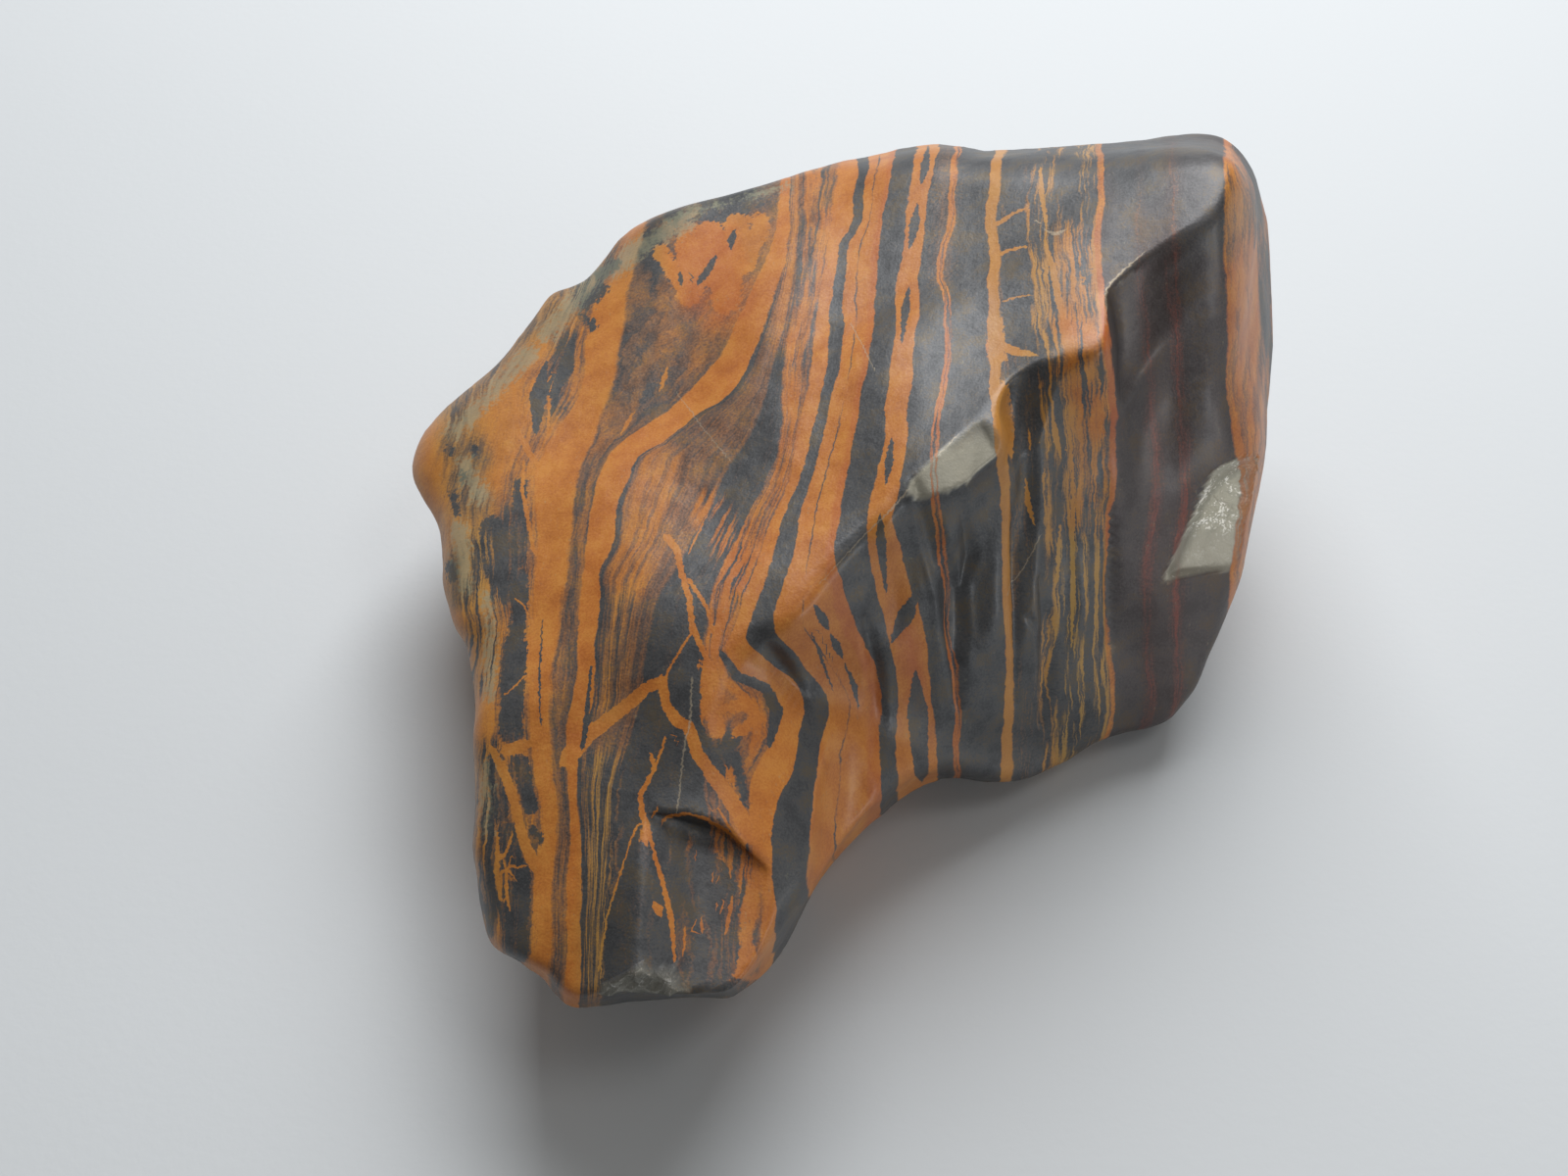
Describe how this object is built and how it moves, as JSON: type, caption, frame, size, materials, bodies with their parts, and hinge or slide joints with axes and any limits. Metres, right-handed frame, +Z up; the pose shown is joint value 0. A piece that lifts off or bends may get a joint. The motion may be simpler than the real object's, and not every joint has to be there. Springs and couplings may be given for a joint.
{
  "type": "rough tiger iron stone",
  "caption": "Rough banded tiger iron: a water-smoothed broken stone with a broad tilted top, a fluted front face and a blunt foot, standing on a flat patch of its underside.",
  "frame": {"origin": "middle of the overall box, at the level of the flat resting patch", "axes": "+Z up; the mineral bands run roughly along Y and up, side by side along X; -Y is the front, where the foot and the fluted face are"},
  "size_m": [0.0976, 0.106, 0.0552],
  "materials": {
    "tiger_iron": "satin, water-smoothed, banded orange, gold, red and dark grey"
  },
  "bodies": {
    "root": {"stone": "tiger_iron"}
  },
  "joints": []
}
